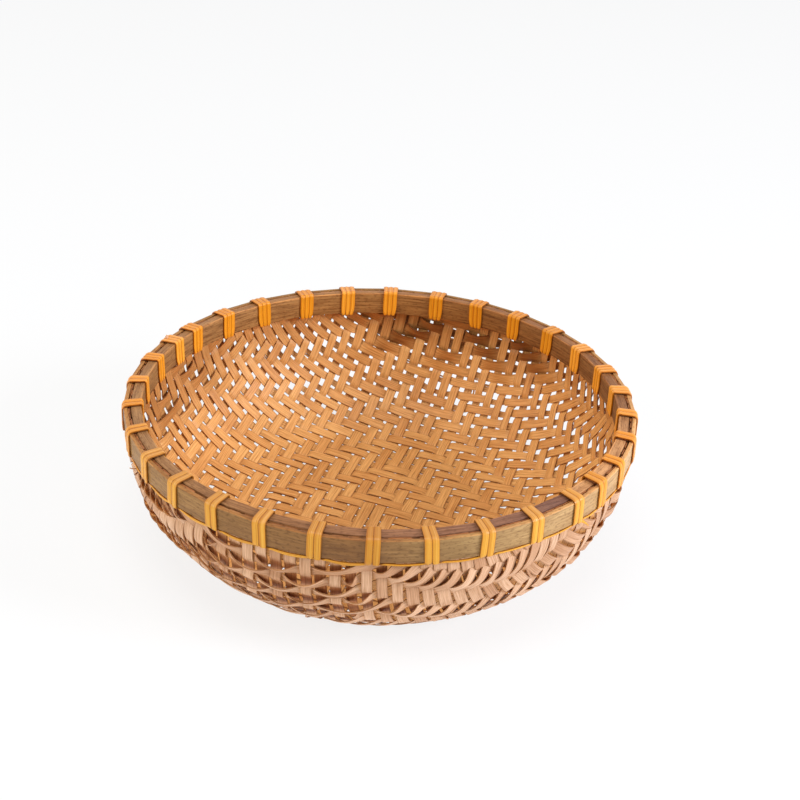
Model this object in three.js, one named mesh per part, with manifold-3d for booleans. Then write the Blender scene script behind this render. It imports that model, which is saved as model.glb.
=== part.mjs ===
// Bamboo basket: a round woven bowl whose edge is held between two bamboo hoops,
// with a flat split strip wound round the rim at thirty-two places.
// Millimetres, +Z up. The origin lies on the surface that the basket stands on, under the middle of the rim.
import * as THREE from "three";
import { mergeVertices } from "three/addons/utils/BufferGeometryUtils.js";
import Module from "manifold-3d";

const wasm = await Module();
wasm.setup();

// Overall sizes
const overallDiameter = 260; // over the lashings
const overallHeight = 80; // from the surface below to the top of the lashings
const seatGap = 0.3; // clearance between pieces that touch

// Lashing strip
const stripThickness = 0.6;
const stripWidth = 3.1; // on the faces of the hoops
const turnGap = 0.5; // between the turns of one lashing, on the faces of the hoops
const knotWidth = 1.6; // where the strip is drawn together under the hoops
const knotGap = 0.6; // between turns there
const flareHeight = 3.5; // over which the strip spreads to its full width
const bendSize = 1.0; // reach of the strip's bends at the corners of the rim
const lashingCount = 32;
const frontTurns = 2;
const backTurns = 3;
const firstLashing = THREE.MathUtils.degToRad(-90.4); // the lashing nearest the front
const frontReach = THREE.MathUtils.degToRad(94); // how far round each way the lashings have the front's turns
// The bays between lashings were spaced by eye. These ones, counted from the front and counter-clockwise seen
// from above, are shorter or longer than the others, which share the rest evenly. Degrees.
const oddBays = new Map([
  [4, 8.6],
  [5, 9.4],
  [7, 10.9],
  [8, 10.9],
  [9, 10.9],
  [15, 12.7],
  [18, 12.5],
  [21, 7.8],
  [22, 10.2],
]);
const strandDrop = 0.6; // the running strand lies this far below the turns' underpass
const strandSag = 0.5; // how far the strand hangs down halfway between two lashings
const leadLength = 2.6; // straight start of a lashing, before it turns up the face
const leadTurn = 1.1; // radius of that turn
const strandSteps = 3; // stretches of the strand between two lashings

// Hoops
const outerHoopThickness = 1.9;
const outerHoopHeight = 11.7;
const innerHoopThickness = 5.2;
const innerHoopHeight = 12.5;
const rimRise = 0.7; // how much higher the rim's inner edge is than its outer edge
const hoopEdge = 0.5; // broken edge of the hoops
const hoopSteps = 96; // facets round
const scarfSteps = 3; // facets over which a hoop's two ends overlap
const scarfTip = 0.4; // thickness left at the tip of each end
const outerScarfBay = 19; // its tips lie below the lashings at both ends of this bay
const innerScarfBay = 3;

// Woven bowl
const weaveThickness = 1.4; // two crossing splints
const weaveEdgeThickness = 1.2; // the same, pinched between the hoops
const edgeTrim = 0.6; // the weave's cut edge lies this far below the outer hoop's top
const floorRoundness = 5.15; // how late the floor turns up towards the wall
const wallRoundness = 1.7; // how early the wall stands up
const restFlat = 0.1; // worn off below, where the basket stands
const rimFacets = 2 * lashingCount; // facets round, where the weave is pinched
const pinchStart = 12.4; // the weave's relief fades from this far below the wall's top
const pinchEnd = 3.1; // and is gone this far below it
const liftHeight = 8.2; // the floor's weave is raised to stand on its base, up to this height

// Splints. Set A runs nearly from left to right, set B from front to back, and each goes over two and under two.
const floorLoop = 1.1; // how far the splints of set A stand out of the outside where they lie over set B
const wallLoop = 1.5; // the same on the wall, where they are looser
const wallLoopStart = 6; // heights between which they get looser
const wallLoopEnd = 24;
const innerLoop = 0.4; // how far they stand out of the inside
const matMiddle = new THREE.Vector2(-5.9, -1.3); // where the middle splints cross
const setA = { pitch: 7.08, azimuth: THREE.MathUtils.degToRad(-22.2) };
const setB = { pitch: 7.02, azimuth: THREE.MathUtils.degToRad(76.1) };
// The two halves of each set's middle line: how the pitch grows along it, as shares after growthSpan half pitches,
// and the line's bend in radians per millimetre.
const growthSpan = 40;
setA.halves = { 1: { growth: [0.21, -0.01], bend: -0.0003 }, "-1": { growth: [0.03, 0.19], bend: 0.0013 } };
setB.halves = { 1: { growth: [-0.24, 0.21], bend: -0.0014 }, "-1": { growth: [0, 0], bend: 0 } };

// Radii from the outside in
const stripStandOff = seatGap + stripThickness / 2; // from a face to the middle of the strip on it
const outerHoopOuter = overallDiameter / 2 - stripThickness - seatGap;
const outerHoopInner = outerHoopOuter - outerHoopThickness;
const weaveEdgeOuter = outerHoopInner - seatGap;
const weaveEdgeInner = weaveEdgeOuter - weaveEdgeThickness;
const innerHoopOuter = weaveEdgeInner - seatGap;
const innerHoopInner = innerHoopOuter - innerHoopThickness;

// Heights from the top down
const rimTop = overallHeight - stripThickness - seatGap; // at the rim's inner edge
const rimSlope = rimRise / (outerHoopOuter - innerHoopInner);
const topAt = (radius) => rimTop - rimSlope * (radius - innerHoopInner);
const outerHoopBottom = topAt(outerHoopOuter) - outerHoopHeight;
const innerHoopBottom = rimTop - innerHoopHeight;
const rimBottom = Math.min(outerHoopBottom, innerHoopBottom);
const underpass = rimBottom - stripStandOff; // middle of the strip where it passes below the hoops
const wallTop = rimBottom - seatGap; // the bowl's curve ends here, and its pinched edge starts

// Loft through sections of equal point count, each counter-clockwise seen from the next one, with closed ends.
function loft(sections) {
  const count = sections[0].length;
  const positions = sections.flat().flatMap((point) => [point.x, point.y, point.z]);
  const faces = [];
  for (let i = 0; i + 1 < sections.length; i++) {
    for (let j = 0; j < count; j++) {
      const a = i * count + j;
      const b = i * count + ((j + 1) % count);
      faces.push(a, b, b + count, a, b + count, a + count);
    }
  }
  const last = (sections.length - 1) * count;
  for (let j = 1; j + 1 < count; j++) {
    faces.push(0, j + 1, j, last, last + j, last + j + 1);
  }
  const geometry = new THREE.BufferGeometry();
  geometry.setAttribute("position", new THREE.Float32BufferAttribute(positions, 3));
  geometry.setIndex(faces);
  return geometry;
}

// A geometry as a solid for cutting, and back.
function solidOf(geometry) {
  const bare = geometry.clone();
  bare.deleteAttribute("normal");
  bare.deleteAttribute("uv");
  const merged = mergeVertices(bare, 1e-4);
  const index = merged.index.array;
  const kept = [];
  for (let i = 0; i < index.length; i += 3) {
    const [a, b, c] = [index[i], index[i + 1], index[i + 2]];
    if (a !== b && b !== c && c !== a) kept.push(a, b, c);
  }
  return new wasm.Manifold(
    new wasm.Mesh({
      numProp: 3,
      vertProperties: merged.attributes.position.array,
      triVerts: new Uint32Array(kept),
    }),
  );
}

function geometryOf(solid) {
  const mesh = solid.getMesh();
  const geometry = new THREE.BufferGeometry();
  geometry.setAttribute("position", new THREE.BufferAttribute(mesh.vertProperties, 3));
  geometry.setIndex(new THREE.BufferAttribute(mesh.triVerts, 1));
  return geometry;
}

// Where the lashings are, and how far it is from each to the next.
const oddSum = [...oddBays.values()].reduce((sum, bay) => sum + bay, 0);
const evenBay = (360 - oddSum) / (lashingCount - oddBays.size);
const bayAngle = (index) => THREE.MathUtils.degToRad(oddBays.get(index) ?? evenBay);
const lashingAngle = (index) => (index > 0 ? lashingAngle(index - 1) + bayAngle(index - 1) : firstLashing);

// Point at a radius, an angle round the basket and a height.
const around = (radius, angle, height) =>
  new THREE.Vector3(radius * Math.cos(angle), radius * Math.sin(angle), height);

// Hoop: one strip bent round, whose tapered ends lie over each other.
function hoopGeometry(inner, outer, bottom, scarfBay) {
  const step = (2 * Math.PI) / hoopSteps;
  const scarfStart = lashingAngle(scarfBay) + (bayAngle(scarfBay) - scarfSteps * step) / 2;
  const sections = [];
  for (let i = 0; i <= hoopSteps + scarfSteps; i++) {
    const startPart = Math.min(i / scarfSteps, 1);
    const endPart = Math.max((i - hoopSteps) / scarfSteps, 0);
    const split = (part) => inner + scarfTip + (outer - inner - 2 * scarfTip - seatGap) * part;
    const low = i < hoopSteps ? inner : split(endPart) + seatGap;
    const high = i > scarfSteps ? outer : split(startPart);
    const edge = Math.min(hoopEdge, 0.4 * (high - low));
    const angle = scarfStart + i * step;
    const outline = [
      [high, bottom + edge],
      [high, topAt(high) - edge],
      [high - edge, topAt(high - edge)],
      [low + edge, topAt(low + edge)],
      [low, topAt(low) - edge],
      [low, bottom + edge],
      [low + edge, bottom],
      [high - edge, bottom],
    ];
    sections.push(outline.map(([radius, height]) => around(radius, angle, height)).reverse());
  }
  return loft(sections);
}

// How far along the rim a turn of a lashing lies from the lashing's middle, on the faces and at the knot.
const faceOffset = (turn, turns) => (turn - (turns - 1) / 2) * (stripWidth + turnGap);
const knotOffset = (turn, turns) => (turn - (turns - 1) / 2) * (knotWidth + knotGap);

const strandRadius = outerHoopOuter - stripStandOff - bendSize / 2 + stripThickness;
const strandHeight = underpass - strandDrop;

// One frame of a strip: its middle, the directions of its width and thickness, and its width, which narrows
// towards the inside of the rim, where the turns lie closer together.
function stripFrame(radius, along, height, widthDirection, faceDirection, width) {
  const angle = along / outerHoopOuter;
  const outward = new THREE.Vector3(Math.cos(angle), Math.sin(angle), 0);
  const onward = new THREE.Vector3(-Math.sin(angle), Math.cos(angle), 0);
  const upward = new THREE.Vector3(0, 0, 1);
  const turned = ([a, b, c]) =>
    new THREE.Vector3()
      .addScaledVector(outward, a)
      .addScaledVector(onward, b)
      .addScaledVector(upward, c)
      .normalize();
  return {
    middle: around(radius, angle, height),
    widthWay: turned(widthDirection),
    faceWay: turned(faceDirection),
    width: (width * radius) / outerHoopOuter,
  };
}

// A lashing: it starts as the end of the strand before it, goes round the rim turn after turn, passing out
// below the hoops through the weave each time, and then runs on below the outer hoop to the next lashing.
function lashingFrames(turns, nextTurns, bay) {
  const backward = [0, -1, 0];
  const out = [1, 0, 0];
  const frames = [];
  const place = (radius, along, height, widthWay, faceWay, width) =>
    frames.push(stripFrame(radius, along, height, widthWay, faceWay, width));

  const outside = outerHoopOuter + stripStandOff;
  const inside = innerHoopInner - stripStandOff;
  const overTop = (radius) => topAt(radius) + stripStandOff;
  const bendStart = Math.sin(Math.PI / 8);
  const bendEnd = Math.cos(Math.PI / 8);

  const start = knotOffset(0, turns);
  const halfTurn = leadTurn * Math.SQRT1_2;
  place(strandRadius, start - leadLength, strandHeight, [0, 0, 1], out, knotWidth);
  place(strandRadius, start - leadTurn, strandHeight, [0, 0, 1], out, knotWidth);
  place(
    (strandRadius * 2 + outside) / 3,
    start - leadTurn + halfTurn,
    strandHeight + leadTurn - halfTurn,
    [0, -1, 1],
    out,
    knotWidth,
  );

  for (let turn = 0; turn < turns; turn++) {
    const knot = knotOffset(turn, turns);
    const face = faceOffset(turn, turns);
    const nextKnot = knotOffset(turn + 1, turns);
    const low = underpass + bendSize;
    const spread = low + flareHeight;
    place(outside, knot, low, backward, [bendEnd, 0, -bendStart], knotWidth);
    place(outside, face, spread, backward, out, stripWidth);
    place(outside, face, overTop(outside) - bendSize, backward, [bendEnd, 0, bendStart], stripWidth);
    place(outside - bendSize, face, overTop(outside - bendSize), backward, [bendStart, 0, bendEnd], stripWidth);
    place(inside + bendSize, face, overTop(inside + bendSize), backward, [-bendStart, 0, bendEnd], stripWidth);
    place(inside, face, overTop(inside) - bendSize, backward, [-bendEnd, 0, bendStart], stripWidth);
    place(inside, face, spread, backward, [-1, 0, 0], stripWidth);
    place(inside, knot, low, backward, [-bendEnd, 0, -bendStart], knotWidth);
    place(inside + bendSize, knot, underpass, backward, [-bendStart, 0, -bendEnd], knotWidth);
    if (turn < turns - 1) {
      place(outside - bendSize, nextKnot, underpass, backward, [bendStart, 0, -bendEnd], knotWidth);
    }
  }

  // The strip comes out, turns half over and runs on with its flat side against the basket.
  const exit = knotOffset(turns, turns);
  place(outerHoopInner, exit, underpass, backward, [0, 0, -1], knotWidth);
  const turnedOver = strandHeight - stripThickness / 2;
  place(strandRadius, exit + knotWidth / 2, turnedOver, [1, -2, 2], [2, 2, 1], knotWidth);
  const runStart = exit + 1.5 * knotWidth;
  const runEnd = outerHoopOuter * bay + knotOffset(0, nextTurns) - leadLength - seatGap;
  for (let i = 0; i <= strandSteps; i++) {
    const part = i / strandSteps;
    const sag = strandSag * Math.sin(Math.PI * part);
    place(strandRadius, runStart + (runEnd - runStart) * part, strandHeight - sag, [0, 0, 1], out, knotWidth);
  }
  return frames;
}

function stripCorners(frame) {
  const across = frame.widthWay.clone().multiplyScalar(frame.width / 2);
  const through = frame.faceWay.clone().multiplyScalar(stripThickness / 2);
  return [
    frame.middle.clone().add(across).add(through),
    frame.middle.clone().sub(across).add(through),
    frame.middle.clone().sub(across).sub(through),
    frame.middle.clone().add(across).sub(through),
  ];
}

// Least distance between stretches of one strip that lie more than a half turn apart along it, taken on points.
function leastSelfGap(frames) {
  const samplesPerStep = 6;
  const points = [];
  let length = 0;
  for (let i = 0; i + 1 < frames.length; i++) {
    const here = stripCorners(frames[i]);
    const next = stripCorners(frames[i + 1]);
    const step = frames[i].middle.distanceTo(frames[i + 1].middle);
    for (let k = 0; k < samplesPerStep; k++) {
      const part = k / samplesPerStep;
      here.forEach((corner, j) => points.push([corner.clone().lerp(next[j], part), length + step * part]));
    }
    length += step;
  }
  const apart = outerHoopHeight;
  let least = Infinity;
  points.forEach(([a, alongA], i) => {
    for (let j = i + 1; j < points.length; j++) {
      const [b, alongB] = points[j];
      if (Math.abs(alongA - alongB) > apart) least = Math.min(least, a.distanceTo(b));
    }
  });
  return least;
}

// The bowl's middle surface: its profile by distance from the middle, and points of the mat as it would lie flat.
const rimMiddle = (weaveEdgeOuter + weaveEdgeInner) / 2;
const profileEnd = 4 * outerHoopHeight; // the wall runs on straight past the rim, and is cut off there
function makeProfile() {
  const profile = [{ along: 0, radius: 0, height: 0 }];
  const add = (radius, height) => {
    const last = profile.at(-1);
    const along = last.along + Math.hypot(radius - last.radius, height - last.height);
    profile.push({ along, radius, height });
  };
  const samples = 2000;
  for (let i = 1; i <= samples; i++) {
    const part = i / samples;
    const turn = (1 - (1 - part ** 3) ** 2) * (Math.PI / 2);
    add(
      rimMiddle * Math.sin(turn) ** (2 / floorRoundness),
      wallTop * (1 - Math.abs(Math.cos(turn)) ** (2 / wallRoundness)),
    );
  }
  add(rimMiddle, wallTop + profileEnd);
  return profile;
}
const profile = makeProfile();
const profileLength = profile.at(-1).along;

function profileAt(along) {
  let low = 0;
  let high = profile.length - 1;
  while (high - low > 1) {
    const middle = (low + high) >> 1;
    if (profile[middle].along > along) high = middle;
    else low = middle;
  }
  const [from, to] = [profile[low], profile[high]];
  const step = to.along - from.along;
  const part = (along - from.along) / step;
  return {
    radius: from.radius + (to.radius - from.radius) * part,
    height: from.height + (to.height - from.height) * part,
    outSlope: (to.radius - from.radius) / step,
    upSlope: (to.height - from.height) / step,
  };
}

function surfaceAt(place) {
  const along = Math.max(place.length(), 1e-9);
  const { radius, height, outSlope, upSlope } = profileAt(along);
  const [cos, sin] = [place.x / along, place.y / along];
  const outward = new THREE.Vector3(outSlope * cos, outSlope * sin, upSlope);
  const round = new THREE.Vector3(-sin, cos, 0).multiplyScalar(radius / along);
  return {
    point: new THREE.Vector3(radius * cos, radius * sin, height),
    byX: outward.clone().multiplyScalar(cos).addScaledVector(round, -sin),
    byY: outward.clone().multiplyScalar(sin).addScaledVector(round, cos),
    inward: new THREE.Vector3(-upSlope * cos, -upSlope * sin, outSlope),
  };
}

// Solves the two equations a * x + b * y = e and c * x + d * y = f.
function solvePair(a, b, c, d, e, f) {
  const nearlyNone = 1e-6; // stands in for nought, where the two say the same
  const determinant = a * d - b * c || nearlyNone;
  return new THREE.Vector2((e * d - f * b) / determinant, (a * f - c * e) / determinant);
}

// Place on the mat that lies at given distances from two points.
function meet(pointA, pointB, distanceA, distanceB, guess) {
  const place = guess.clone();
  const longestMove = 3;
  const rounds = 8;
  const tolerance = 0.01;
  for (let round = 0; round < rounds; round++) {
    const { point, byX, byY } = surfaceAt(place);
    const fromA = point.clone().sub(pointA);
    const fromB = point.clone().sub(pointB);
    const move = solvePair(
      2 * fromA.dot(byX),
      2 * fromA.dot(byY),
      2 * fromB.dot(byX),
      2 * fromB.dot(byY),
      distanceA ** 2 - fromA.lengthSq(),
      distanceB ** 2 - fromB.lengthSq(),
    );
    place.add(move.clampLength(0, longestMove));
  }
  const { point } = surfaceAt(place);
  const miss = Math.max(
    Math.abs(point.distanceTo(pointA) - distanceA),
    Math.abs(point.distanceTo(pointB) - distanceB),
  );
  return miss < tolerance && place.length() < profileLength ? place : undefined;
}

// A line that runs on over the bowl from the mat's middle with a slight bend, by steps of given lengths.
function middleLine(azimuth, steps, bend) {
  const rounds = 4;
  const line = [matMiddle.clone()];
  const ahead = new THREE.Vector3(Math.cos(azimuth), Math.sin(azimuth), 0);
  for (const step of steps) {
    const { point, byX, byY, inward } = surfaceAt(line.at(-1));
    ahead.addScaledVector(inward, -ahead.dot(inward)).normalize();
    ahead.applyAxisAngle(inward, bend * step);
    const move = solvePair(
      byX.dot(byX),
      byX.dot(byY),
      byX.dot(byY),
      byY.dot(byY),
      ahead.dot(byX) * step,
      ahead.dot(byY) * step,
    );
    for (let round = 0; round < rounds; round++) {
      move.multiplyScalar(step / surfaceAt(line.at(-1).clone().add(move)).point.distanceTo(point));
    }
    const next = line.at(-1).clone().add(move);
    if (next.length() >= profileLength) break;
    ahead.copy(surfaceAt(next).point).sub(point).normalize();
    line.push(next);
  }
  return line;
}

// Where the splints cross, every half pitch of both sets, as on a cloth that shears but doesn't stretch.
function makeNet() {
  const reach = 1.15 * profileLength; // the splints' spacing narrows by less than this allows for
  const halfSteps = Math.ceil((2 * reach) / Math.min(setA.pitch, setB.pitch));
  const net = new Map();
  const key = (i, j) => `${i},${j}`;
  const steps = (set, sign) => {
    const [first, second] = set.halves[sign].growth;
    const share = (k) => (k + 0.5) / growthSpan;
    return Array.from(
      { length: halfSteps },
      (_, k) => (set.pitch / 2) * (1 + first * share(k) + second * share(k) ** 2),
    );
  };
  for (const sign of [1, -1]) {
    for (const set of [setA, setB]) {
      const turn = sign > 0 ? 0 : Math.PI;
      const line = middleLine(set.azimuth + turn, steps(set, sign), set.halves[sign].bend);
      line.forEach((place, k) => net.set(set === setA ? key(sign * k, 0) : key(0, sign * k), place));
    }
  }
  for (const signA of [1, -1]) {
    for (const signB of [1, -1]) {
      const [stepsA, stepsB] = [steps(setA, signA), steps(setB, signB)];
      for (let total = 2; total <= 2 * halfSteps; total++) {
        for (let a = Math.max(1, total - halfSteps); a <= Math.min(halfSteps, total - 1); a++) {
          const b = total - a;
          const besideA = net.get(key(signA * (a - 1), signB * b));
          const besideB = net.get(key(signA * a, signB * (b - 1)));
          const before = net.get(key(signA * (a - 1), signB * (b - 1)));
          if (!besideA || !besideB) continue;
          const guess = besideA.clone().add(besideB).sub(before);
          const found = meet(
            surfaceAt(besideA).point,
            surfaceAt(besideB).point,
            stepsA[a - 1],
            stepsB[b - 1],
            guess,
          );
          if (found) net.set(key(signA * a, signB * b), found);
        }
      }
    }
  }
  return { at: (i, j) => net.get(key(i, j)), halfSteps };
}

// Whether set A lies on the inside where splints a and b cross: a twill in diamonds, with the inner ones a step out
// and those on the wall at the front right a step back. On the front wall set A passes over three splints on the
// outside and under one. The limits are counted in splints from the mat's middle.
function setAInside(a, b) {
  const innerDiamonds = 10.5;
  const outerDiamonds = 18;
  const frontLeft = -7;
  const frontRight = 4;
  const frontWall = -16;
  const rightWall = -7;
  const [column, row] = [Math.floor(a), Math.floor(b)];
  if (column >= frontLeft && column < frontRight && row <= frontWall) {
    return (column + 2 * row) % 4 === 0;
  }
  let ring = Math.floor(Math.abs(a)) + Math.floor(Math.abs(b - 1));
  if (Math.abs(a) + Math.abs(b - 1) < innerDiamonds) ring += 1;
  if (column >= frontRight && row <= rightWall && ring >= outerDiamonds) ring -= 1;
  return ring % 4 === 0 || ring % 4 === 3;
}

// The mat as one closed shell with a corner at every crossing, raised where set A lies on top on that side.
function matGeometry() {
  const net = makeNet();
  const smooth = THREE.MathUtils.smoothstep;
  const positions = [];
  const corners = new Map(); // number of the outer corner at a crossing; the inner one follows it
  for (let i = -net.halfSteps | 1; i <= net.halfSteps; i += 2) {
    for (let j = -net.halfSteps | 1; j <= net.halfSteps; j += 2) {
      const place = net.at(i, j);
      if (!place) continue;
      const { point, inward } = surfaceAt(place);
      const relief = 1 - smooth(point.z, wallTop - pinchStart, wallTop - pinchEnd);
      const half = weaveThickness / 2 + (1 - relief) * seatGap;
      const inside = setAInside(i / 2, j / 2);
      const outerLoop = floorLoop + (wallLoop - floorLoop) * smooth(point.z, wallLoopStart, wallLoopEnd);
      const out = half + (inside ? 0 : outerLoop * relief);
      const within = half + (inside ? innerLoop * relief : 0);
      const lift = (weaveThickness / 2 - restFlat) * (1 - smooth(point.z, 0, liftHeight));
      corners.set(`${i},${j}`, positions.length / 3);
      for (const offset of [-out, within]) {
        const corner = point.clone().addScaledVector(inward, offset);
        positions.push(corner.x, corner.y, corner.z + lift);
      }
    }
  }
  const highest = rimTop + setA.pitch;
  const quads = [];
  for (const name of corners.keys()) {
    const [i, j] = name.split(",").map(Number);
    const quad = [
      [0, 0],
      [2, 0],
      [2, 2],
      [0, 2],
    ].map(([di, dj]) => corners.get(`${i + di},${j + dj}`));
    if (quad.includes(undefined) || quad.every((corner) => positions[3 * corner + 2] > highest)) continue;
    quads.push(quad);
  }
  const faces = [];
  const edges = new Map();
  for (const [a, b, c, d] of quads) {
    faces.push(a, c, b, a, d, c);
    faces.push(a + 1, b + 1, c + 1, a + 1, c + 1, d + 1);
    const sides = [
      [a, b],
      [b, c],
      [c, d],
      [d, a],
    ];
    for (const [from, to] of sides) edges.set(`${from},${to}`, [from, to]);
  }
  for (const [from, to] of edges.values()) {
    if (!edges.has(`${to},${from}`)) faces.push(from, to, to + 1, from, to + 1, from + 1);
  }
  const geometry = new THREE.BufferGeometry();
  geometry.setAttribute("position", new THREE.Float32BufferAttribute(positions, 3));
  geometry.setIndex(faces);
  return geometry;
}

// What the bowl is trimmed to: a flat base, and a pinched edge between the hoops.
function trimGeometry() {
  const edge = topAt(outerHoopOuter) - edgeTrim;
  const beyond = overallDiameter / 2;
  const outline = [
    [0, 0],
    [beyond, 0],
    [beyond, wallTop],
    [weaveEdgeOuter, wallTop],
    [weaveEdgeOuter, edge],
    [weaveEdgeInner, edge],
    [weaveEdgeInner, wallTop],
    [0, wallTop],
  ];
  const points = outline.map(([radius, height]) => new THREE.Vector2(radius, height));
  return new THREE.LatheGeometry(points, rimFacets, firstLashing).rotateX(Math.PI / 2);
}

const turnsOf = (index) => {
  const round = lashingAngle(index) - firstLashing;
  const fromFront = Math.min(round, 2 * Math.PI - round);
  return fromFront <= frontReach ? frontTurns : backTurns;
};

function bowlGeometry() {
  let bowl = solidOf(matGeometry()).intersect(solidOf(trimGeometry()));
  const slotHeight = stripThickness + 2 * seatGap;
  for (let index = 0; index < lashingCount; index++) {
    const turns = turnsOf(index);
    const margin = knotWidth / 2 + seatGap;
    const from = knotOffset(0, turns) - margin;
    const to = knotOffset(turns, turns) + margin;
    const slot = new THREE.BoxGeometry(4 * weaveThickness, to - from, slotHeight);
    slot.translate(rimMiddle, (from + to) / 2, underpass);
    slot.rotateZ(lashingAngle(index));
    bowl = bowl.subtract(solidOf(slot));
  }
  return geometryOf(bowl);
}

// Materials
const weaveMaterial = new THREE.MeshStandardMaterial({ color: 0xcd9a60, roughness: 0.6, metalness: 0 });
const outerHoopMaterial = new THREE.MeshStandardMaterial({ color: 0xa5855c, roughness: 0.5, metalness: 0 });
const innerHoopMaterial = new THREE.MeshStandardMaterial({ color: 0x8a5f3c, roughness: 0.55, metalness: 0 });
const lashingMaterial = new THREE.MeshStandardMaterial({ color: 0xeaa52e, roughness: 0.35, metalness: 0 });

const basket = new THREE.Group();

function addPiece(name, geometry, material, turn = 0) {
  const mesh = new THREE.Mesh(geometry, material);
  mesh.name = name;
  mesh.rotation.z = turn;
  basket.add(mesh);
}

addPiece("woven_bowl", bowlGeometry(), weaveMaterial);
addPiece(
  "outer_hoop",
  hoopGeometry(outerHoopInner, outerHoopOuter, outerHoopBottom, outerScarfBay),
  outerHoopMaterial,
);
addPiece(
  "inner_hoop",
  hoopGeometry(innerHoopInner, innerHoopOuter, innerHoopBottom, innerScarfBay),
  innerHoopMaterial,
);

let selfGap = Infinity;
for (let index = 0; index < lashingCount; index++) {
  const frames = lashingFrames(turnsOf(index), turnsOf((index + 1) % lashingCount), bayAngle(index));
  selfGap = Math.min(selfGap, leastSelfGap(frames));
  const name = `lashing_${String(index + 1).padStart(2, "0")}`;
  addPiece(name, loft(frames.map(stripCorners)), lashingMaterial, lashingAngle(index));
}
console.log(`least gap of a lashing to itself: ${selfGap.toFixed(2)} mm`);

export default basket;
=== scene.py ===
"""Looks of the bamboo basket.

Its bowl is woven from split bamboo, held at the edge between two bent hoops and lashed with a yellow strip.
"""

import math

import bpy
import numpy as np
from mathutils import Matrix, Vector


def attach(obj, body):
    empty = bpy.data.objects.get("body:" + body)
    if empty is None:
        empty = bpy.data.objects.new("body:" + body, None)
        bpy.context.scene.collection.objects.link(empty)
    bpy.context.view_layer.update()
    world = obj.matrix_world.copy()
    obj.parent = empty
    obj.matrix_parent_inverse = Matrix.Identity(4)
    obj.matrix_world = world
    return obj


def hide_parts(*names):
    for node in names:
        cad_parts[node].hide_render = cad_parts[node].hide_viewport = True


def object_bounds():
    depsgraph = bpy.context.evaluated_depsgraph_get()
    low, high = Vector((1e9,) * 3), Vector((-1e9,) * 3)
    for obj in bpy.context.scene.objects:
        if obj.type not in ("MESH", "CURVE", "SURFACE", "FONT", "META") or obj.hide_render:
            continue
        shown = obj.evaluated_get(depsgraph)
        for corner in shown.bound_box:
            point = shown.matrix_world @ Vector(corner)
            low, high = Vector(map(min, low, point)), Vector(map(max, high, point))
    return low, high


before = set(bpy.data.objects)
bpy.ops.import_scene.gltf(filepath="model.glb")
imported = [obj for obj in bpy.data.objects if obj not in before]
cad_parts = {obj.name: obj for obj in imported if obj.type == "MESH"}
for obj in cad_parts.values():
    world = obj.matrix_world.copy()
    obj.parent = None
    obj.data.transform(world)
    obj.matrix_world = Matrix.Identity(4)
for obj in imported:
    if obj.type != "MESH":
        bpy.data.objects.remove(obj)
cad_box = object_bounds()
bpy.ops.object.select_all(action="DESELECT")

MM = 0.001
rng = np.random.default_rng(11)

# Sizes in millimetres, as the solids have them
OVERALL_DIAMETER = round((cad_box[1][0] - cad_box[0][0]) / MM)  # over the lashings
OVERALL_HEIGHT = round(cad_box[1][2] / MM)
STRIP_THICK = 0.6
STAND_OFF = 0.3  # between the hoops and the strip
OUTER_HOOP_THICK = 1.9
OUTER_HOOP_HEIGHT = 11.7
INNER_HOOP_THICK = 5.2
INNER_HOOP_HEIGHT = 12.5
HOOPS_APART = 1.6  # a little tighter on the mat than in the solids
RIM_RISE = 0.7  # how much higher the rim's inner edge is than its outer edge

# Radii and heights that follow from them
RIM_RADIUS = OVERALL_DIAMETER / 2 - STRIP_THICK - STAND_OFF
OUTER_HOOP = (RIM_RADIUS - OUTER_HOOP_THICK, RIM_RADIUS)
INNER_HOOP_OUTSIDE = OUTER_HOOP[0] - HOOPS_APART
INNER_HOOP = (INNER_HOOP_OUTSIDE - INNER_HOOP_THICK, INNER_HOOP_OUTSIDE)
HOOP_TOP = OVERALL_HEIGHT - STRIP_THICK - STAND_OFF
TOP_SLOPE = RIM_RISE / (RIM_RADIUS - INNER_HOOP[0])
OUTER_HOOP_BOTTOM = HOOP_TOP - RIM_RISE - OUTER_HOOP_HEIGHT
INNER_HOOP_BOTTOM = HOOP_TOP - INNER_HOOP_HEIGHT

# Lashings round the rim
LASHINGS = 32
FIRST_LASHING = math.radians(-90.4)
# The bays between lashings were spaced by eye: these are shorter or longer than the others. Degrees.
ODD_BAYS = {4: 8.6, 5: 9.4, 7: 10.9, 8: 10.9, 9: 10.9, 15: 12.7, 18: 12.5, 21: 7.8, 22: 10.2}
EVEN_BAY = (360 - sum(ODD_BAYS.values())) / (LASHINGS - len(ODD_BAYS))
BAYS = np.radians([ODD_BAYS.get(bay, EVEN_BAY) for bay in range(LASHINGS)])
LASHING_ANGLES = np.concatenate([[0], np.cumsum(BAYS)])  # from the first lashing on
# Bays in which a hoop's two ends lie over each other
OUTER_SCARF_BAY = 19
INNER_SCARF_BAY = 3
HOOP_FLAT = 0.35  # how far the rim lies inside its circle halfway between two lashings

# Bowl: profile of the middle of the weave
WALL_RADIUS = 126.5
WALL_HEIGHT = 66.0
FLOOR_ROUND = 5.15  # how late the floor turns up towards the wall
WALL_ROUND = 1.7  # how early the wall stands up
MAT_EDGE = 78.1
WEAVE_LIFT = 0.9  # at the floor, so that the lowest splints stand on the ground
LIFT_HEIGHT = 8.0

# Weave
SPLINTS_EACH_SIDE = 30
SPLINT_WIDTH = 5.95
NARROWEST = 2.6
SPLINT_THICK = 0.55
MAT_MIDDLE = (-5.9, -1.3)
PITCH = {"A": 7.08, "B": 7.02}
AZIMUTH = {"A": math.radians(-22.2), "B": math.radians(76.1)}
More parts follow.
